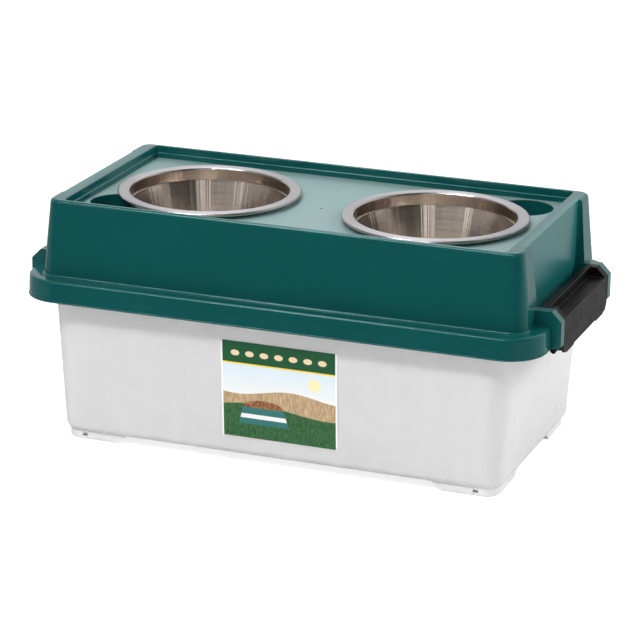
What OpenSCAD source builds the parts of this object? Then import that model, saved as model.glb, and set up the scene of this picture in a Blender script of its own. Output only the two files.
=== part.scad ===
// Raised pet feeder: two steel bowls in a lid that latches onto a food bin.
// Millimetres, Z up. The feet stand on z = 0, the long side runs along X
// and the front, with the label, looks along -Y.

/* [Lid outline] */
// length of the lid at its lower edge
skirt_l = 501.2; // [486:0.1:516]
// depth of the lid from front to back at its lower edge
skirt_w = 270; // [264:0.1:280]
// height of the lower edge of the lid above the ground
skirt_z = 138.9; // [126:0.1:146]
// height of the band around the lower edge of the lid
skirt_h = 20.5; // [19.4:0.1:22]
// corner radius of that band
skirt_r = 36.4; // [34:0.1:39]
// overall height of the feeder
total_h = 230.9; // [224:0.1:242]

/* [Lid walls and deck] */
// wall thickness of the lid moulding
lid_t = 2.4; // [2:0.1:2.8]
// width of the ledge in front of and behind the tall walls
ledge_w = 16.3; // [15.6:0.1:17.4]
// width of the ledge at the two short ends
ledge_end = 14.8; // [14:0.1:17]
// corner radius of the tall walls at their foot
tower_r = 18; // [16:0.1:20]
// how much the tall walls lean in over their height
tower_lean = 7.2; // [5.5:0.05:8]
// rounding of the outer top edge
rim_round = 3.4; // [2.6:0.1:4.6]
// width of the rim at the two short ends
rim_end = 15.1; // [13.8:0.1:16.5]
// width of the rim along the front and back
rim_side = 4.6; // [4.6:0.1:7]
// depth of the sunk deck below the rim
deck_drop = 12.4; // [11:0.1:16]
// half width of the recessed panel at each short end, at its foot
panel_half = 75.4; // [74:0.2:80]
// how much wider each side of the recessed panel is at the rim
panel_flare = 6.2; // [0:0.1:8]
// depth of the recessed panel at the rim
panel_in = 3.2; // [2:0.1:3.6]

/* [Bowls] */
// diameter of each bowl over its rolled edge
bowl_d = 173.6; // [170:0.2:176]
// distance between the centres of the two bowls
bowl_gap = 224.6; // [220:0.2:226]
// depth of each bowl
bowl_depth = 56; // [48:0.5:58]
// radius of the rounding at the bottom of each bowl
bowl_round = 13; // [10:0.5:15]
// thickness of the steel sheet
sheet_t = 1.2; // [1:0.1:1.4]
// depth of the finger scoops below the deck
scoop_depth = 26; // [18:0.5:32]
// radius of the finger scoops
scoop_r = 27; // [24:0.5:28]
// how far the centre of the right scoop lies outside the edge of its bowl
scoop_out_right = 12; // [9:0.1:13]
// how far the centre of the left scoop lies outside the edge of its bowl
scoop_out_left = 1.2; // [0:0.1:3]

/* [Latches] */
// half width of each latch
latch_half = 72.2; // [66:0.1:73]
// thickness of each green cheek beside a latch
cheek_t = 10; // [7:0.1:11]
// height of the cheeks above the ledge
cheek_h = 13.1; // [12.4:0.1:14]
// how far the cheeks reach out beyond the band of the lid
cheek_out = 8.4; // [7:0.1:9.4]
// height and depth of the sloping corner on top of the latches and cheeks
latch_slope = 9.2; // [8:0.1:9.8]
// how far the face of each latch reaches below the band of the lid
latch_drop = 7.9; // [6:0.1:9]
// width of each of the two hooks on a latch
hook_w = 30; // [24:0.5:34]
// side gap between a latch and its cheeks
latch_gap = 0.4; // [0.3:0.05:0.8]
// radius of the latch pivot pins
pin_r = 2.5; // [2:0.05:3]
// running clearance around a pivot pin
pin_fit = 0.05; // [0.03:0.01:0.1]

/* [Storage bin] */
// wall thickness of the bin
bin_t = 2.4; // [1.8:0.1:2.6]
// distance from the band of the lid in to the end wall of the bin
bin_in_end = 26.6; // [25.6:0.1:32]
// distance from the band of the lid in to the front wall of the bin
bin_in_side = 12.6; // [12.2:0.1:15]
// how much the bin walls lean out over their height
bin_lean = 8.2; // [5:0.1:10]
// height of the four corner feet
foot_h = 7.3; // [5.5:0.1:9]
// length of each foot along the front
foot_l = 61; // [45:0.5:75]

/* [Label] */
// width of the label
label_w = 113; // [90:0.5:140]
// height of the label
label_h = 94; // [70:0.5:100]

/* [Hidden] */
$fn = 96;

// corner centres and levels of the lid
sk_cx = skirt_l / 2 - skirt_r;
sk_cy = skirt_w / 2 - skirt_r;
skirt_lean = 0.65;
ledge_z = skirt_z + skirt_h;
tw_cx = skirt_l / 2 - ledge_end - tower_r;
tw_cy = skirt_w / 2 - ledge_w - tower_r;
tower_s = tower_lean / (total_h - ledge_z);
rim_x = tw_cx + tower_r - tower_lean;
rim_y = tw_cy + tower_r - tower_lean;
deck_z = total_h - deck_drop;
step_z = deck_z + 6;
step_w = 1.4;
basin_r = 5;
ba_cx = rim_x - rim_end - basin_r;
ba_cy = rim_y - rim_side - basin_r;

// levels of the bowls and their wells
seat_z = deck_z + 4.9;
bowl_top = seat_z + 0.3 + sheet_t;
bead_r = 1.7;
well_r = bowl_d / 2 - 7.3;
well_z = bowl_top - bowl_depth - 5.4;
well_s = 0.2;

// seal line: tongue on the bin, channel and seal in the lid
tongue_r = 25.5;
seal_top = ledge_z - lid_t;
seal_h = 4.1;
tongue_top = seal_top - 0.2 - seal_h - 0.3;

// latch and cheek levels
cheek_x = skirt_l / 2 + cheek_out;
cheek_top = ledge_z + cheek_h;
face_x = cheek_x - 0.4;
pivot_x = skirt_l / 2 - 4.6;
pivot_z = cheek_top - 5;
barrel_r = pivot_z - ledge_z - 0.7;
cheek_y = latch_half + latch_gap;
hook_z = skirt_z - 0.8;

// bin corner centres and levels
bin_r = 25.2;
bn_cx = skirt_l / 2 - bin_in_end - bin_r;
bn_cy = skirt_w / 2 - bin_in_side - bin_r;
bin_s = bin_lean / (skirt_z - foot_h);
bin_low_r = bin_r - bin_lean;
flange_top = skirt_z + 5;
flange_r = skirt_r - lid_t - 1.4;

// distance of the tall wall and of the recessed end panel from the middle
function wall_x(z) = tw_cx + tower_r - (z - ledge_z) * tower_s;
function panel_x(z) = rim_x - panel_in + (total_h - z) * 0.021;

// runs a flat profile round a rectangle whose corner centres are at cx, cy
module around(cx, cy) {
    for (q = [[1, 1, 0], [-1, 1, 90], [-1, -1, 180], [1, -1, 270]])
        translate([q[0] * cx, q[1] * cy, 0]) rotate([0, 0, q[2]])
            rotate_extrude(angle = 90) children();
    for (s = [0, 180]) rotate([0, 0, s]) {
        translate([cx, 0, 0]) rotate([90, 0, 0])
            linear_extrude(2 * cy, center = true) children();
        translate([0, cy, 0]) rotate([90, 0, 90])
            linear_extrude(2 * cx, center = true) children();
    }
}

// the same with the middle filled in from z0 to z1
module filled(cx, cy, z0, z1) {
    around(cx, cy) children();
    translate([-cx, -cy, z0]) cube([2 * cx, 2 * cy, z1 - z0]);
}

// side of a tub: leans out by s per unit of height, lower edge rounded
module tub_side(r, z0, z1, s, fillet) {
    a = atan(s);
    xc = r + fillet * s - fillet / cos(a);
    polygon([[0, z0], [xc, z0], [xc + fillet * cos(a), z0 + fillet - fillet * sin(a)],
             [r + (z1 - z0) * s, z1], [0, z1]]);
    translate([xc, z0 + fillet]) circle(fillet);
}

// the same upside down, with the rounded edge on top at z1
module hood_side(r, z0, z1, s, fillet) {
    translate([0, z1]) mirror([0, 1]) tub_side(r, 0, z1 - z0, s, fillet);
}

// upright strip used for ribs, lips and seals
module strip(r0, r1, z0, z1) {
    translate([r0, z0]) square([r1 - r0, z1 - z0]);
}

// profile drawn in x and z, made w wide and centred on the middle plane
module slab(w) {
    rotate([90, 0, 0]) linear_extrude(w, center = true) children();
}

// frosted tub with a rim flange, a sealing tongue and four corner feet
module storage_bin() {
    color([0.86, 0.88, 0.88]) difference() {
        union() {
            filled(bn_cx, bn_cy, foot_h, flange_top)
                tub_side(bin_low_r, foot_h, flange_top, bin_s, 8);
            filled(sk_cx, sk_cy, flange_top - 2.4, flange_top)
                strip(0, flange_r, flange_top - 2.4, flange_top);
            around(sk_cx, sk_cy) {
                strip(flange_r - 2, flange_r, skirt_z - 0.5, flange_top);
                strip(tongue_r - 1, tongue_r + 1, flange_top - 1, tongue_top);
            }
            bin_feet();
        }
        filled(bn_cx, bn_cy, foot_h + 2.6, flange_top + 1)
            tub_side(bin_low_r - bin_t, foot_h + 2.6, flange_top + 1, bin_s, 5.6);
        for (x = [-1, 1], y = [-1, 1])
            translate([x * (bn_cx - 6) - 2.5, y * (bn_cy + bin_low_r - 4.9) - 3, foot_h - 4.6])
                cube([5, 6, 3.4]);
    }
}

// corner feet: a band under the tub edge, cut to sloping ends
module bin_feet() {
    r1 = bin_low_r - 3.4;
    xe = bn_cx + r1 - foot_l;
    ye = bn_cy + r1 - foot_l * 1.05;
    intersection() {
        around(bn_cx, bn_cy) {
            strip(r1 - 9, r1, 1.5, foot_h + 1.5);
            strip(r1 - 9, r1 - 1.5, 0, 3);
            translate([r1 - 1.5, 1.5]) circle(1.5);
        }
        for (s = [0, 180]) rotate([0, 0, s]) slab(skirt_w)
            polygon([[xe + 10, -1], [xe, foot_h], [xe, foot_h + 3], [skirt_l, foot_h + 3],
                     [skirt_l, -1]]);
        for (s = [90, 270]) rotate([0, 0, s]) slab(skirt_l)
            polygon([[ye + 11, -1], [ye, foot_h], [ye, foot_h + 3], [skirt_w, foot_h + 3],
                     [skirt_w, -1]]);
    }
}

// raised lid: tall walls, sunk deck, bowl wells, skirt and latch cheeks
module feeder_lid() {
    color([0.08, 0.31, 0.30]) difference() {
        union() {
            difference() {
                union() {
                    difference() {
                        lid_outside();
                        lid_inside();
                    }
                    for (s = [0, 180]) rotate([0, 0, s]) panel_backing();
                }
                for (s = [0, 180]) rotate([0, 0, s]) {
                    panel_recess();
                    rim_hollow();
                }
                basin();
            }
            for (s = [0, 180]) rotate([0, 0, s]) cheek_pair();
            around(sk_cx, sk_cy) {
                strip(tongue_r - 4.2, tongue_r - 2.6, seal_top - 3.2, seal_top + 0.4);
                strip(tongue_r + 2.6, tongue_r + 4.2, seal_top - 3.2, seal_top + 0.4);
            }
            for (x = [-1, 1]) translate([x * bowl_gap / 2, 0, 0]) {
                rotate_extrude() tub_side(well_r - (seat_z - well_z) * well_s + 2.2,
                                          well_z - 2.2, deck_z - 1, well_s, 10);
                translate([0, 0, deck_z - 1]) cylinder(r = well_r + 3.1, h = seat_z - deck_z + 1);
            }
            for (c = scoops()) translate([c[0], c[1], 0])
                rotate_extrude() tub_side(scoop_r + 2.2, deck_z - scoop_depth - 2.2, deck_z - 1, 0, 10);
            translate([0, 0, deck_z - 0.5]) cylinder(r = 1.8, h = 0.9);
        }
        for (x = [-1, 1]) translate([x * bowl_gap / 2, 0, 0])
            rotate_extrude() tub_side(well_r - (seat_z - well_z) * well_s, well_z,
                                      seat_z + 1, well_s, 8);
        for (c = scoops()) translate([c[0], c[1], 0])
            rotate_extrude() tub_side(scoop_r, deck_z - scoop_depth, seat_z + 1, 0, 8);
        for (s = [0, 180]) rotate([0, 0, s]) for (y = [-1, 1])
            translate([pivot_x, y * (cheek_y + 2.4), pivot_z]) rotate([90, 0, 0])
                cylinder(r = pin_r + pin_fit, h = 5.2, center = true);
    }
}

// centres of the finger scoops: right one behind its bowl, left one in front
function scoops() = [for (s = [[1, scoop_out_right, 50.7], [-1, scoop_out_left, 217.8]])
    [s[0] * bowl_gap / 2 + (bowl_d / 2 + s[1]) * cos(s[2]), (bowl_d / 2 + s[1]) * sin(s[2])]];

// outer shape of the tall walls and of the band below them
module lid_outside() {
    filled(tw_cx, tw_cy, seal_top, total_h)
        hood_side(tower_r - tower_lean, seal_top, total_h, tower_s, rim_round);
    filled(sk_cx, sk_cy, skirt_z, ledge_z)
        hood_side(skirt_r - skirt_lean, skirt_z, ledge_z, skirt_lean / skirt_h, 2.5);
    around(sk_cx, sk_cy) translate([skirt_r - 0.25, skirt_z + 0.8]) circle(0.8);
    around(tw_cx, tw_cy) translate([tower_r, ledge_z]) difference() {
        translate([-1, -0.5]) square([3, 2.5]);
        translate([2, 2]) circle(2);
    }
}

// hollow under the ledge and inside the tall walls
module lid_inside() {
    filled(sk_cx, sk_cy, skirt_z - 1, seal_top)
        polygon([[0, skirt_z - 1], [skirt_r - lid_t, skirt_z - 1],
                 [skirt_r - skirt_lean - lid_t, seal_top], [0, seal_top]]);
    filled(tw_cx, tw_cy, seal_top - 1, deck_z - lid_t)
        polygon([[0, seal_top - 1], [tower_r - lid_t, seal_top - 1],
                 [tower_r - (deck_z - lid_t - ledge_z) * tower_s - lid_t, deck_z - lid_t],
                 [0, deck_z - lid_t]]);
}

// wall behind the recessed end panel
module panel_backing() {
    slab(2 * (panel_half + panel_flare + lid_t))
        polygon([[panel_x(seal_top) - lid_t, seal_top], [wall_x(seal_top) - 1.2, seal_top],
                 [wall_x(deck_z) - 1.2, deck_z - 1], [panel_x(deck_z) - lid_t, deck_z - 1]]);
}

// space cut away in front of the end panel, wider at the rim than at its foot
module panel_recess() {
    flare = panel_flare * (total_h + 5 - ledge_z) / (total_h - ledge_z);
    intersection() {
        slab(skirt_w)
            polygon([[panel_x(ledge_z), ledge_z], [skirt_l, ledge_z], [skirt_l, total_h + 5],
                     [panel_x(total_h + 5), total_h + 5]]);
        rotate([90, 0, 90]) linear_extrude(2 * skirt_l)
            polygon([[-panel_half, ledge_z], [panel_half, ledge_z],
                     [panel_half + flare, total_h + 5], [-panel_half - flare, total_h + 5]]);
    }
}

// hollow under the wide rim at each end
module rim_hollow() {
    x0 = ba_cx + basin_r + 1.9;
    x1 = panel_x(deck_z) - 2.2;
    translate([x0, -tw_cy, deck_z - lid_t - 1]) cube([x1 - x0, 2 * tw_cy, deck_drop + lid_t - 2.2]);
}

// sunk tray above the deck, with a small rounded step in its walls
module basin() {
    filled(ba_cx, ba_cy, deck_z, total_h + 1) difference() {
        polygon([[0, deck_z], [basin_r - 2, deck_z], [basin_r - 1.8, step_z - step_w],
                 [basin_r - 0.4, step_z - step_w], [basin_r, total_h + 1], [0, total_h + 1]]);
        translate([basin_r - 0.4, step_z - step_w]) circle(step_w);
    }
    around(ba_cx, ba_cy) difference() {
        strip(basin_r - 1, basin_r + 1.2, total_h - 1.2, total_h + 0.5);
        translate([basin_r + 1.2, total_h - 1.2]) circle(1.2);
    }
}

// pair of cheeks that carry one latch
module cheek_pair() {
    for (y = [-1, 1]) translate([0, y * (cheek_y + cheek_t / 2), 0]) slab(cheek_t)
        polygon([[panel_x(ledge_z) - 1, ledge_z - 1], [panel_x(ledge_z) - 1, cheek_top],
                 [cheek_x - latch_slope + 0.2, cheek_top], [cheek_x, cheek_top - latch_slope],
                 [cheek_x, skirt_z + 1.6],
                 [cheek_x - 2.2, skirt_z - 0.7], [skirt_l / 2 - 1.2, skirt_z - 0.7],
                 [skirt_l / 2 - 1.2, ledge_z - 1]]);
}

// soft ring in the channel under the lid
module lid_gasket() {
    color([0.78, 0.78, 0.76]) around(sk_cx, sk_cy)
        strip(tongue_r - 2.5, tongue_r + 2.5, seal_top - 0.1 - seal_h, seal_top - 0.1);
}

// latch at the right end, drawn closed
module latch_right() {
    color([0.11, 0.11, 0.115]) latch();
}

// the same latch turned about for the left end
module latch_left() {
    color([0.11, 0.11, 0.115]) rotate([0, 0, 180]) latch();
}

// latch: face plate, finger pocket, end walls with pins, and two hooks
module latch() {
    top_x = cheek_x - latch_slope - 0.2;
    hook_y = latch_half - hook_w / 2 - 5.6;
    difference() {
        union() {
            slab(2 * latch_half) polygon([
                [face_x - 2.4, skirt_z - latch_drop], [face_x, skirt_z - latch_drop],
                [face_x, cheek_top - latch_slope], [face_x - 2.4, cheek_top - latch_slope]]);
            slab(2 * latch_half) latch_band();
            for (y = [-1, 1]) translate([0, y * (latch_half - 3.8), 0]) {
                slab(7.6) {
                    polygon([[pivot_x - 7.8, cheek_top], [top_x, cheek_top],
                             [face_x, cheek_top - latch_slope], [face_x, skirt_z - 2.5],
                             [face_x - 5.4, skirt_z - 2.5], [face_x - 5.4, pivot_z - 6],
                             [pivot_x, pivot_z - 6], [pivot_x - 7.8, pivot_z]]);
                    intersection() {
                        translate([pivot_x, pivot_z]) circle(barrel_r);
                        translate([pivot_x - barrel_r, pivot_z - barrel_r])
                            square([2 * barrel_r, barrel_r]);
                    }
                }
                translate([pivot_x, y * 3.8, pivot_z]) rotate([90, 0, 0])
                    cylinder(r = pin_r, h = 2 * (latch_gap + 4.4), center = true);
            }
            for (y = [-1, 1]) translate([0, y * hook_y, 0]) {
                slab(hook_w) latch_hook();
                translate([0, y * -3, 0]) slab(hook_w - 6) polygon([
                    [face_x - 2.4, skirt_z - latch_drop - 1.4],
                    [face_x, skirt_z - latch_drop - 1.4],
                    [face_x, skirt_z - 6], [face_x - 2.4, skirt_z - 6]]);
                for (r = [-1, 1]) translate([0, r * hook_w / 3, 0]) slab(2) polygon([
                    [face_x - 4.6, hook_z - 2], [face_x - 1, hook_z - 2],
                    [face_x - 1, cheek_top - latch_slope - 1],
                    [face_x - 4.6, cheek_top - latch_slope - 1]]);
            }
        }
        for (s = [0, 1]) mirror([0, s, 0]) rotate([90, 0, 90]) linear_extrude(skirt_l)
            polygon([[latch_half - 5.6, skirt_z - latch_drop - 5],
                     [latch_half - 5.6, skirt_z - latch_drop],
                     [latch_half + 1, skirt_z - 1.2], [latch_half + 1, skirt_z - latch_drop - 5]]);
    }
}

// band along the inner edge of the latch and the floor of the finger pocket
module latch_band() {
    polygon([[pivot_x - 7.8, pivot_z - 1.5], [pivot_x - 7.8, cheek_top],
             [pivot_x - 2.8, cheek_top], [pivot_x - 2.8, cheek_top - latch_slope],
             [face_x, cheek_top - latch_slope], [face_x, cheek_top - latch_slope - 2.4],
             [pivot_x - 4.6, cheek_top - latch_slope - 2.4]]);
}

// hook that reaches under the flange of the bin
module latch_hook() {
    polygon([[pivot_x - 3, hook_z], [pivot_x - 3, hook_z - 3.6], [pivot_x - 1, hook_z - 8],
             [pivot_x + 1, hook_z - 9.9], [pivot_x + 3.2, hook_z - 9.5],
             [pivot_x + 5, hook_z - 5.8], [face_x, hook_z - 5.8], [face_x - 1, hook_z]]);
}

// pressed steel bowl with a flat rim and a rolled edge
module bowl() {
    re = bowl_d / 2 - bead_r;
    ri = re - 9.9;
    zs = bowl_top - 12;
    s = 0.3;
    zb = bowl_top - bowl_depth;
    rotate_extrude() {
        strip(ri + 2.2, re, bowl_top - sheet_t, bowl_top);
        translate([re, bowl_top - bead_r]) circle(bead_r);
        intersection() {
            translate([ri + 2.2, bowl_top - 2.2]) difference() {
                circle(2.2);
                circle(2.2 - sheet_t);
            }
            strip(ri, ri + 2.2, bowl_top - 2.2, bowl_top);
        }
        strip(ri, ri + sheet_t, zs - sheet_t, bowl_top - 2.2);
        strip(ri - 1.2, ri + sheet_t, zs - sheet_t, zs);
        difference() {
            tub_side(ri - 1.2 + sheet_t - (zs - zb) * s, zb, zs, s, bowl_round);
            tub_side(ri - 1.2 - (zs - zb - sheet_t) * s, zb + sheet_t, zs + 1, s,
                     bowl_round - sheet_t);
        }
    }
}

// bowl in the left well
module bowl_left() {
    color([0.77, 0.76, 0.75]) translate([-bowl_gap / 2, 0, 0]) bowl();
}

// bowl in the right well
module bowl_right() {
    color([0.77, 0.76, 0.75]) translate([bowl_gap / 2, 0, 0]) bowl();
}

// printed sticker on the leaning front wall of the bin
module front_label() {
    zc = foot_h + (skirt_z - foot_h) * 0.505;
    yc = bn_cy + bin_low_r + (zc - foot_h) * bin_s;
    color([0.62, 0.72, 0.62]) translate([5.5, -yc - 0.2, zc]) rotate([atan(bin_s), 0, 0])
        cube([label_w, 0.3, label_h], center = true);
}

storage_bin();
feeder_lid();
lid_gasket();
latch_left();
latch_right();
bowl_left();
bowl_right();
front_label();
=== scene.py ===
import bpy
from math import cos, pi, radians, sin
from mathutils import Euler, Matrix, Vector

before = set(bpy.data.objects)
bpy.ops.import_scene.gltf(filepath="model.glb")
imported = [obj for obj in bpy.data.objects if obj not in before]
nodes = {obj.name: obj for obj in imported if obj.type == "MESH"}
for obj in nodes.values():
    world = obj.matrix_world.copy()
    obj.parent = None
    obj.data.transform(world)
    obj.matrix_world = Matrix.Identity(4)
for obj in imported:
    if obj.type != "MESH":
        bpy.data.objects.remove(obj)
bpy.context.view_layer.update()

# Storage bin: one injection moulding in unfilled polypropylene, whose satin tool finish
# scatters the light so that it looks frosted. The plastic flowed up the leaning walls in
# faint streaks and clouds, and the four corner feet are moulded on below.


def new_material(name):
    """A material with one Principled shader; returns it with its node tree and shader."""
    made = bpy.data.materials.new(name)
    made.use_nodes = True
    tree = made.node_tree
    return made, tree, tree.nodes["Principled BSDF"]


def even(value):
    """The same value three times, for a grey or for a size along X, Y and Z."""
    return value, value, value


def spot(tree, middle=(0, 0, 0), size=(1, 1, 1)):
    """Object coordinates measured from middle, in units of size."""
    where = tree.nodes.new("ShaderNodeTexCoord")
    moved = tree.nodes.new("ShaderNodeMapping")
    moved.vector_type = "TEXTURE"
    moved.inputs["Location"].default_value = middle
    moved.inputs["Scale"].default_value = size
    tree.links.new(where.outputs["Object"], moved.inputs["Vector"])
    return moved.outputs["Vector"]


def axes(tree, vector, wanted="XYZ"):
    """The coordinates of a vector that wanted names, in that order."""
    node = tree.nodes.new("ShaderNodeSeparateXYZ")
    tree.links.new(vector, node.inputs["Vector"])
    return [node.outputs[axis] for axis in wanted]


def clouds(tree, size, detail=3.0):
    """Noise in soft patches; size is how wide a patch is along X, Y and Z, in metres."""
    patch = tree.nodes.new("ShaderNodeTexNoise")
    patch.inputs["Scale"].default_value = 1
    patch.inputs["Detail"].default_value = detail
    tree.links.new(spot(tree, size=size), patch.inputs["Vector"])
    return patch.outputs["Fac"]


def spread(tree, value, low, high, start=0.3, end=0.7):
    """Runs from low to high while value runs from start to end."""
    node = tree.nodes.new("ShaderNodeMapRange")
    node.inputs["From Min"].default_value = start
    node.inputs["From Max"].default_value = end
    node.inputs["To Min"].default_value = low
    node.inputs["To Max"].default_value = high
    tree.links.new(value, node.inputs["Value"])
    return node.outputs["Result"]


def tinted(tree, value, low, high, start=0.3, end=0.7):
    """A colour that runs from low to high while value runs from start to end."""
    ramp = tree.nodes.new("ShaderNodeValToRGB")
    for stop, position, colour in zip(ramp.color_ramp.elements, (start, end), (low, high)):
        stop.position = position
        stop.color = (*colour, 1)
    tree.links.new(value, ramp.inputs["Fac"])
    return ramp.outputs["Color"]


def worked(tree, action, *values):
    """A Math node on values, each of them a number or a socket."""
    node = tree.nodes.new("ShaderNodeMath")
    node.operation = action
    for inlet, value in zip(node.inputs, values):
        if isinstance(value, (int, float)):
            inlet.default_value = value
        else:
            tree.links.new(value, inlet)
    return node.outputs["Value"]


def relief(tree, shader, value, height):
    """Raises the surface by value times height, in metres."""
    node = tree.nodes.new("ShaderNodeBump")
    node.inputs["Distance"].default_value = height
    tree.links.new(value, node.inputs["Height"])
    tree.links.new(node.outputs["Normal"], shader.inputs["Normal"])


def coat(node, made):
    """Gives a CAD node this material all over."""
    mesh = nodes[node].data
    mesh.materials.clear()
    mesh.materials.append(made)


flow_streak_size = (0.012, 0.012, 0.09)
flow_cloud_size = (0.03, 0.03, 0.02)
frost_grain_size = even(0.006)
flow_depth = 0.00012
streak_share = 0.4
thick_frost = even(0.775)
thin_frost = even(0.810)
foot_top = 0.0060
tub_start = 0.0085
frost_scatter_depth = 0.004

frosted, tree, shader = new_material("frosted_plastic")
streaks = clouds(tree, flow_streak_size, detail=2)
patches = worked(tree, "MULTIPLY", clouds(tree, flow_cloud_size), 1 - streak_share)
cloudy = worked(tree, "MULTIPLY_ADD", streaks, streak_share, patches)
frost = tinted(tree, cloudy, thick_frost, thin_frost, start=0.36, end=0.64)
rough = spread(tree, clouds(tree, frost_grain_size), low=0.38, high=0.46)
[height] = axes(tree, spot(tree), "Z")
clear = spread(tree, height, low=0.16, high=0.30, start=foot_top, end=tub_start)
tree.links.new(frost, shader.inputs["Base Color"])
tree.links.new(rough, shader.inputs["Roughness"])
tree.links.new(clear, shader.inputs["Transmission Weight"])
relief(tree, shader, cloudy, flow_depth)
shader.inputs["Subsurface Weight"].default_value = 0.3
shader.inputs["Subsurface Radius"].default_value = even(1)
shader.inputs["Subsurface Scale"].default_value = frost_scatter_depth
shader.inputs["IOR"].default_value = 1.4
coat("storage_bin", frosted)

# Front label: a plastic film, printed in flat colours and stuck on the front wall. Its
# picture is a plain one made for this part, with no words: a straw field and a meadow
# under a pale sky, a feeding bowl, and a green band with a row of biscuits.


def extent(node, axis):
    """The lowest and highest coordinate of a CAD node along axis 0, 1 or 2, in metres."""
    places = [vertex.co[axis] for vertex in nodes[node].data.vertices]
    return min(places), max(places)


def above(tree, value, edge, soft):
    """0 where value is under edge, and 1 where it is over edge by soft or more."""
    return spread(tree, value, 0, 1, edge, edge + soft)


def below(tree, value, edge, soft):
    """0 where value is over edge, and 1 where it is under edge by soft or more."""
    return spread(tree, value, 1, 0, edge - soft, edge)


def between(tree, value, low, high, soft=0.0004):
    """1 where value lies between low and high, 0 elsewhere; soft is the width of an edge."""
    return worked(tree, "MULTIPLY", above(tree, value, low, soft), below(tree, value, high, soft))


def painted(tree, under, over, share):
    """A colour, under where share is 0 and over where it is 1."""
    node = tree.nodes.new("ShaderNodeMix")
    node.data_type = "RGBA"
    inlets = [inlet for inlet in node.inputs if inlet.type == "RGBA"]
    for inlet, value in zip(inlets, (under, over)):
        if isinstance(value, tuple):
            inlet.default_value = (*value, 1)
        else:
            tree.links.new(value, inlet)
    tree.links.new(share, node.inputs["Factor"])
    return [outlet for outlet in node.outputs if outlet.type == "RGBA"][0]


def squares(tree, first, second):
    """The sum of two squares."""
    return worked(tree, "MULTIPLY_ADD", first, first, worked(tree, "MULTIPLY", second, second))


def oval(tree, x, z, half_width, half_height, soft=0.1):
    """1 inside an upright oval around x and z in the plane of the label, 0 outside it."""
    across, up = axes(tree, spot(tree, (x, 0, z), (half_width, 1, half_height)), "XZ")
    return below(tree, squares(tree, across, up), 1 + soft, 2 * soft)


def cup(tree, x, low, high, half_foot, half_mouth):
    """1 inside an upright cup around x, between two heights where its half widths are given."""
    across, up = axes(tree, spot(tree), "XZ")
    half = spread(tree, up, half_foot, half_mouth, low, high)
    away = worked(tree, "ABSOLUTE", worked(tree, "SUBTRACT", across, x))
    within = below(tree, worked(tree, "SUBTRACT", away, half), ink_edge / 2, ink_edge)
    return worked(tree, "MULTIPLY", within, between(tree, up, low, high))


def hills(tree, height, rise, pace, start):
    """1 under a rolling skyline that swings by rise around height."""
    across, up = axes(tree, spot(tree), "XZ")
    swing = worked(tree, "SINE", worked(tree, "MULTIPLY_ADD", across, pace, start))
    skyline = worked(tree, "MULTIPLY_ADD", swing, rise, height)
    return below(tree, worked(tree, "SUBTRACT", up, skyline), ink_edge / 2, ink_edge)


label_left, label_right = extent("front_label", 0)
label_low = extent("front_label", 2)[0]
label_middle = (label_left + label_right) / 2
ink_edge = 0.0004
line_edge = 0.0003
rim_edge = 0.0002
rim_width = 0.0015
rim_start = (label_right - label_left) / 2 - rim_width - rim_edge / 2
sky_low = label_low + 0.03516
sky_high = label_low + 0.06916
sun_x = label_middle + 0.0345
sun_z = label_low + 0.06016
sun_radius = 0.006
bowl_x = label_middle - 0.0155
bowl_foot = label_low + 0.01366
bowl_mouth = bowl_foot + 0.0170
stripe_low = bowl_foot + 0.0057
stripe_high = bowl_foot + 0.0103
band_low = label_low + 0.07316
line_low = band_low - 0.0015
biscuit_count = 7
biscuit_pitch = 0.01417
biscuit_z = band_low + 0.0095
straw_size = (0.0012, 1, 0.008)
grass_size = (0.002, 1, 0.004)
heap_size = (0.003, 1, 0.003)
ink_grain_size = even(0.01)
film_wave_size = even(0.02)
film_wave_depth = 0.0001

haze = (0.80, 0.79, 0.75)
pale_blue = (0.62, 0.71, 0.77)
pale_yellow = (0.86, 0.74, 0.42)
dark_straw = (0.33, 0.22, 0.12)
light_straw = (0.56, 0.41, 0.24)
dark_grass = (0.018, 0.080, 0.030)
light_grass = (0.050, 0.150, 0.050)
dark_brown = (0.16, 0.065, 0.028)
light_brown = (0.34, 0.15, 0.06)
bowl_teal = (0.030, 0.16, 0.15)
stripe_white = (0.78, 0.78, 0.76)
line_yellow = (0.84, 0.60, 0.06)
band_green = (0.010, 0.085, 0.032)
biscuit_tan = (0.72, 0.58, 0.36)
film_white = (0.84, 0.84, 0.82)

printed, tree, shader = new_material("label_print")
x, z = axes(tree, spot(tree), "XZ")
straw = tinted(tree, clouds(tree, straw_size), dark_straw, light_straw, start=0.35, end=0.65)
grass = tinted(tree, clouds(tree, grass_size), dark_grass, light_grass, start=0.35, end=0.65)
brown = tinted(tree, clouds(tree, heap_size), dark_brown, light_brown, start=0.4, end=0.6)
sun = oval(tree, sun_x, sun_z, sun_radius, sun_radius)
field = hills(tree, height=label_low + 0.04616, rise=0.0035, pace=60, start=0.6)
meadow = hills(tree, height=label_low + 0.03016, rise=0.004, pace=42, start=2.4)
heap = oval(tree, bowl_x, bowl_mouth, half_width=0.0195, half_height=0.0075)
dish = cup(tree, bowl_x, bowl_foot, bowl_mouth, half_foot=0.0245, half_mouth=0.0200)
stripe = cup(tree, bowl_x, stripe_low, stripe_high, half_foot=0.0228, half_mouth=0.0216)
line = above(tree, z, line_low, line_edge)
band = above(tree, z, band_low, line_edge)
biscuits = 0
for step in range(biscuit_count):
    biscuit_x = label_middle + biscuit_pitch * (step - (biscuit_count - 1) / 2)
    biscuit = oval(tree, biscuit_x, biscuit_z, half_width=0.0042, half_height=0.0028)
    biscuits = worked(tree, "MAXIMUM", biscuits, biscuit)
from_middle = worked(tree, "ABSOLUTE", worked(tree, "SUBTRACT", x, label_middle))
rims = above(tree, from_middle, rim_start, rim_edge)

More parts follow.
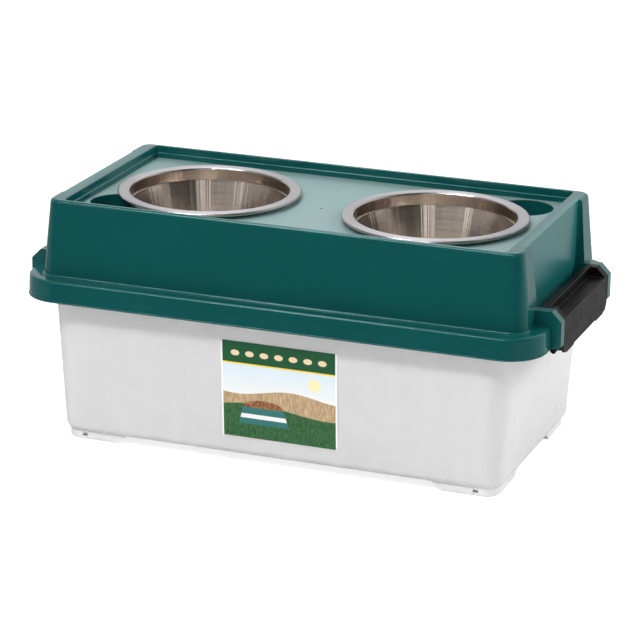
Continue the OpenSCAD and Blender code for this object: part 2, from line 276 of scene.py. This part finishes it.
picture = tinted(tree, above(tree, z, sky_low, sky_high - sky_low), haze, pale_blue, start=0, end=1)
for ink, shape in ((pale_yellow, sun), (straw, field), (grass, meadow), (brown, heap),
                   (bowl_teal, dish), (stripe_white, stripe), (line_yellow, line),
                   (band_green, band), (biscuit_tan, biscuits), (film_white, rims)):
    picture = painted(tree, picture, ink, shape)
rough = spread(tree, clouds(tree, ink_grain_size), low=0.36, high=0.44)
tree.links.new(picture, shader.inputs["Base Color"])
tree.links.new(rough, shader.inputs["Roughness"])
relief(tree, shader, clouds(tree, film_wave_size, detail=1), film_wave_depth)
shader.inputs["Specular IOR Level"].default_value = 0.25
coat("front_label", printed)

# Raised lid: one injection moulding in dark green polypropylene, held down by the latches.
# The outer walls have a satin tool finish, the sunk deck a dull one that sheds the light, and the
# finger scoops were polished so that they wipe clean.
# The deck's pale green is partly that dull finish and partly a painted sheen.


def mixed(tree, low, high, share):
    """A number, low where share is 0 and high where it is 1."""
    gap = worked(tree, "SUBTRACT", high, low)
    return worked(tree, "MULTIPLY_ADD", gap, share, low)


def scoop_area(tree, side, gap, angle):
    """1 in the finger scoop that lies beyond the bowl on that side by gap, at that angle."""
    reach = bowl_radius + gap
    middle_x = side * bowl_middle + reach * cos(radians(angle))
    middle_y = reach * sin(radians(angle))
    x, y = axes(tree, spot(tree, (middle_x, middle_y, 0)), "XY")
    away = worked(tree, "SQRT", squares(tree, x, y))
    return below(tree, away, scoop_radius + mask_edge, mask_edge)


half_length = extent("feeder_lid", 0)[1]
half_width = extent("feeder_lid", 1)[1]
lid_top = extent("feeder_lid", 2)[1]
bowl_start, bowl_end = extent("bowl_right", 0)
bowl_middle = (bowl_start + bowl_end) / 2
bowl_radius = (bowl_end - bowl_start) / 2
mask_edge = 0.0004
deck_level = lid_top - 0.0124
deck_half_length = half_length - 0.0445
deck_half_width = half_width - 0.02805
panel_inner = half_length - 0.039
panel_outer = half_length - 0.031
panel_half_width = 0.0830
scoop_radius = 0.0273
body_cloud_size = even(0.08)
body_ripple_size = even(0.03)
body_ripple_depth = 0.0002

body_dark = (0.0032, 0.060, 0.059)
body_light = (0.0038, 0.067, 0.066)
# painted light: the end panels are a lighter green, standing in for the stronger light that falls
# on the ends
panel_green_painted_light = (0.009, 0.096, 0.095)
# painted sheen: the deck's pale green stands in for the light it reflects, on top of its dull
# finish
deck_green_painted_sheen = (0.145, 0.222, 0.220)
panel_rough = 0.26
deck_rough = 0.48
scoop_rough = 0.06

green, tree, shader = new_material("green_plastic")
x, y, z = axes(tree, spot(tree))
lengthways = worked(tree, "ABSOLUTE", x)
crossways = worked(tree, "ABSOLUTE", y)
deck_area = worked(tree, "MULTIPLY", below(tree, lengthways, deck_half_length, mask_edge),
                   below(tree, crossways, deck_half_width, mask_edge))
deck = worked(tree, "MULTIPLY", deck_area,
              between(tree, z, deck_level - 0.0005, deck_level + 0.0009, mask_edge))
end_panel = worked(tree, "MULTIPLY", between(tree, lengthways, panel_inner, panel_outer, mask_edge),
                   below(tree, crossways, panel_half_width, mask_edge))
scoops = worked(tree, "MAXIMUM", scoop_area(tree, side=1, gap=0.012, angle=50.7),
                scoop_area(tree, side=-1, gap=0.0012, angle=217.8))
polished = worked(tree, "MULTIPLY", scoops, below(tree, z, deck_level - 0.0003, mask_edge))
colour = tinted(tree, clouds(tree, body_cloud_size), body_dark, body_light)
# painted light on the end panels
colour = painted(tree, colour, panel_green_painted_light, end_panel)
# painted sheen on the sunk deck
colour = painted(tree, colour, deck_green_painted_sheen, deck)
rough = spread(tree, clouds(tree, body_ripple_size), low=0.10, high=0.14)
for finish_rough, area in ((panel_rough, end_panel), (deck_rough, deck), (scoop_rough, polished)):
    rough = mixed(tree, rough, finish_rough, area)
tree.links.new(colour, shader.inputs["Base Color"])
tree.links.new(rough, shader.inputs["Roughness"])
relief(tree, shader, clouds(tree, body_ripple_size, detail=2), body_ripple_depth)
shader.inputs["IOR"].default_value = 1.38
shader.inputs["Specular Tint"].default_value = (0.7, 1.0, 1.0, 1)
coat("feeder_lid", green)

# Seal ring: one loop of soft, pale silicone rubber, moulded in a plain section. It is
# pressed into the channel under the lid, where its own grip holds it.
seal_cloud_size = even(0.02)
seal_grain_size = even(0.004)
seal_relief_size = even(0.003)
seal_relief_depth = 0.0001
seal_dark = (0.50, 0.50, 0.48)
seal_light = (0.57, 0.57, 0.55)

rubber, tree, shader = new_material("seal_rubber")
colour = tinted(tree, clouds(tree, seal_cloud_size), seal_dark, seal_light)
rough = spread(tree, clouds(tree, seal_grain_size), low=0.52, high=0.66)
tree.links.new(colour, shader.inputs["Base Color"])
tree.links.new(rough, shader.inputs["Roughness"])
relief(tree, shader, clouds(tree, seal_relief_size), seal_relief_depth)
coat("lid_gasket", rubber)

# Latches: two black polypropylene mouldings on pins in the lid's cheeks. They have a
# finely etched, satin surface, and their rounded edges are painted pale grey as a painted
# highlight.
edge_radius = 0.0006
dye_cloud_size = even(0.03)
latch_grain_size = even(0.012)
etch_size = even(0.002)
etch_depth = 0.0001
dye_dark = (0.0035, 0.0034, 0.0034)
dye_light = (0.0050, 0.0048, 0.0048)
# painted highlight: the pale grey given to every rounded edge
edge_highlight_grey = (0.095, 0.085, 0.085)

black, tree, shader = new_material("black_plastic")
rounded = tree.nodes.new("ShaderNodeBevel")
rounded.samples = 8
rounded.inputs["Radius"].default_value = edge_radius
surface = tree.nodes.new("ShaderNodeNewGeometry")
facing = tree.nodes.new("ShaderNodeVectorMath")
facing.operation = "DOT_PRODUCT"
tree.links.new(rounded.outputs["Normal"], facing.inputs[0])
tree.links.new(surface.outputs["Normal"], facing.inputs[1])
# painted highlight on the rounded edges, where the rounded normal turns away from the flat one
painted_edge_highlight = below(tree, facing.outputs["Value"], edge=0.97, soft=0.17)
dye = tinted(tree, clouds(tree, dye_cloud_size), dye_dark, dye_light)
rough = spread(tree, clouds(tree, latch_grain_size), low=0.34, high=0.44)
etch = tree.nodes.new("ShaderNodeBump")
etch.inputs["Distance"].default_value = etch_depth
tree.links.new(clouds(tree, etch_size, detail=2), etch.inputs["Height"])
tree.links.new(rounded.outputs["Normal"], etch.inputs["Normal"])
tree.links.new(painted(tree, dye, edge_highlight_grey, painted_edge_highlight), shader.inputs["Base Color"])
tree.links.new(rough, shader.inputs["Roughness"])
tree.links.new(etch.outputs["Normal"], shader.inputs["Normal"])
shader.inputs["IOR"].default_value = 1.3
shader.inputs["Specular IOR Level"].default_value = 0.15
coat("latch_left", black)
coat("latch_right", black)

# Bowls: pressed from stainless sheet with a rolled edge, and set loose in the lid's wells.
# The inside is polished on a lathe, which leaves fine rings and drags each reflection
# into an upright streak. The press left faint upright draw marks.


def draw_marks(tree, outward, pace):
    """Noise that changes round the bowl and not with height."""
    node = tree.nodes.new("ShaderNodeTexNoise")
    node.inputs["Scale"].default_value = pace
    node.inputs["Detail"].default_value = 4
    node.inputs["Roughness"].default_value = 0.6
    tree.links.new(outward, node.inputs["Vector"])
    return node.outputs["Fac"]


def turned_rings(tree, radius, pace):
    """Noise that changes with the radius alone."""
    node = tree.nodes.new("ShaderNodeTexNoise")
    node.noise_dimensions = "1D"
    node.inputs["Scale"].default_value = pace
    tree.links.new(radius, node.inputs["W"])
    return node.outputs["Fac"]


rim_top = extent("bowl_left", 2)[1]
flat_rim_low = rim_top - 0.0013
flat_rim_edge = 0.0006
wall_start = 0.056
wall_edge = 0.008
steel_depth = 0.0012
ring_share = 0.03
steel_dark = (0.45, 0.395, 0.345)
steel_light = (0.56, 0.49, 0.43)
rim_steel = (0.32, 0.31, 0.325)
rim_rough = 0.30

steel, tree, shader = new_material("bowl_steel")
x, y, z = axes(tree, spot(tree))
across = worked(tree, "SUBTRACT", worked(tree, "ABSOLUTE", x), bowl_middle)
radius = worked(tree, "SQRT", squares(tree, across, y))
from_axis = tree.nodes.new("ShaderNodeCombineXYZ")
tree.links.new(across, from_axis.inputs["X"])
tree.links.new(y, from_axis.inputs["Y"])
unit = tree.nodes.new("ShaderNodeVectorMath")
unit.operation = "NORMALIZE"
tree.links.new(from_axis.outputs["Vector"], unit.inputs[0])
outward = unit.outputs["Vector"]
flat_rim = above(tree, z, flat_rim_low, flat_rim_edge)
wall = worked(tree, "MULTIPLY", above(tree, radius, wall_start, wall_edge),
              worked(tree, "SUBTRACT", 1, flat_rim))
shade_marks = mixed(tree, 0.5, draw_marks(tree, outward, pace=4), wall)
height_marks = mixed(tree, 0.5, draw_marks(tree, outward, pace=5), wall)
colour = tinted(tree, shade_marks, steel_dark, steel_light, start=0.35, end=0.65)
rough = spread(tree, turned_rings(tree, radius, pace=900), low=0.17, high=0.23)
marks = worked(tree, "MULTIPLY_ADD", turned_rings(tree, radius, pace=500), ring_share, height_marks)
lathe = tree.nodes.new("ShaderNodeTangent")
lathe.direction_type = "RADIAL"
lathe.axis = "Z"
tree.links.new(painted(tree, colour, rim_steel, flat_rim), shader.inputs["Base Color"])
tree.links.new(mixed(tree, rough, rim_rough, flat_rim), shader.inputs["Roughness"])
tree.links.new(lathe.outputs["Tangent"], shader.inputs["Tangent"])
relief(tree, shader, marks, steel_depth)
shader.inputs["Metallic"].default_value = 1
shader.inputs["Anisotropic"].default_value = 0.8
shader.inputs["Anisotropic Rotation"].default_value = 0.25
coat("bowl_left", steel)
coat("bowl_right", steel)

# Photographer's set: a white table that ends a little in front of the feeder, white all
# round to the camera. Soft boxes stand above, behind, at the right and, weakly, in front,
# and what shines mirrors a room that is dark in front and bright behind.
table_width = 3.2
table_length = 3.6
table_front = -0.59
table_middle = (0, table_front + table_length / 2, 0)
table_pale = even(0.92)
table_seen = even(0.36)
table_glow = 0.80
room_light = 0.54
white_light = (1, 1, 1, 1)

bpy.ops.object.select_all(action="DESELECT")
bpy.ops.mesh.primitive_plane_add(size=1, location=table_middle)
table = bpy.context.object
table.name = "studio_table"
table.scale = (table_width, table_length, 1)
white, tree, shader = new_material("white_table")
rays = tree.nodes.new("ShaderNodeLightPath")
seen = worked(tree, "MAXIMUM", rays.outputs["Is Camera Ray"], rays.outputs["Is Glossy Ray"])
glow = worked(tree, "MULTIPLY", rays.outputs["Is Camera Ray"], table_glow)
tree.links.new(painted(tree, table_pale, table_seen, seen), shader.inputs["Base Color"])
tree.links.new(glow, shader.inputs["Emission Strength"])
shader.inputs["Emission Color"].default_value = white_light
shader.inputs["Roughness"].default_value = 0.9
shader.inputs["Specular IOR Level"].default_value = 0.1
table.data.materials.append(white)

room = bpy.data.worlds.new("studio")
room.use_nodes = True
bpy.context.scene.world = room
tree = room.node_tree
background = tree.nodes["Background"]
background.inputs["Color"].default_value = white_light
rays = tree.nodes.new("ShaderNodeLightPath")
aim = tree.nodes.new("ShaderNodeTexCoord")
x, y, z = axes(tree, aim.outputs["Generated"])
over_table = spread(tree, z, low=0, high=1, start=0, end=0.15)
left_to_right = spread(tree, x, low=0.45, high=0.08, start=-0.5, end=0.8)
front_to_back = spread(tree, y, low=0.06, high=1.0, start=-0.15, end=0.40)
mirrored = worked(tree, "MAXIMUM", front_to_back,
                  worked(tree, "MULTIPLY", over_table, left_to_right))
strength = mixed(tree, room_light, mirrored, rays.outputs["Is Glossy Ray"])
strength = worked(tree, "MAXIMUM", strength, rays.outputs["Is Camera Ray"])
tree.links.new(strength, background.inputs["Strength"])

feeder_middle = Vector((0, 0, 0.12))


def soft_box(name, width, height, glow, place):
    """A lit panel of that size and radiance at place, which faces the feeder."""
    light = bpy.data.lights.new(name, "AREA")
    light.shape = "RECTANGLE"
    light.size = width
    light.size_y = height
    light.energy = glow * pi * width * height
    box = bpy.data.objects.new(name, light)
    bpy.context.scene.collection.objects.link(box)
    box.location = place
    back = box.location - feeder_middle
    box.rotation_euler = back.to_track_quat("Z", "Y").to_euler()
    box.visible_camera = False
    return box


soft_box("top_box", width=2.0, height=0.2, glow=8.0, place=(-0.5, 0.1, 1.8))
soft_box("high_front_box", width=1.6, height=0.2, glow=36.0, place=(-0.3, -1.3, 1.9))
soft_box("back_box", width=1.2, height=0.8, glow=2.6, place=(-0.7, 1.7, 1.7))
right_box = soft_box("right_box", width=0.9, height=0.9, glow=14.0, place=(1.6, 1.2, 1.0))
right_box.visible_glossy = False
soft_box("front_box", width=0.45, height=0.8, glow=1.0, place=(1.00, -1.65, 0.90))
soft_box("narrow_box", width=0.16, height=0.8, glow=1.8, place=(-1.05, -1.76, 0.90))

# Camera: a long lens to the right of the feeder and above it, a few steps away, at the
# photograph's viewing angle and tipped by less than a degree as the photograph is.
camera_place = (0.9360, -2.5220, 0.9875)
camera_heading = radians(20.354)
camera_dip = radians(18.089)
camera_tip = radians(0.760)

eye = bpy.data.cameras.new("photo_camera")
eye.sensor_width = 36
eye.lens = 168.75
eye.clip_end = 50
camera = bpy.data.objects.new("photo_camera", eye)
bpy.context.scene.collection.objects.link(camera)
camera.location = camera_place
swung = Euler((0, 0, camera_heading)).to_matrix()
raised = Euler((pi / 2 - camera_dip, 0, 0)).to_matrix()
tipped = Euler((0, 0, camera_tip)).to_matrix()
camera.rotation_euler = (swung @ raised @ tipped).to_euler()
bpy.context.scene.camera = camera
bpy.context.scene.view_settings.view_transform = "Standard"
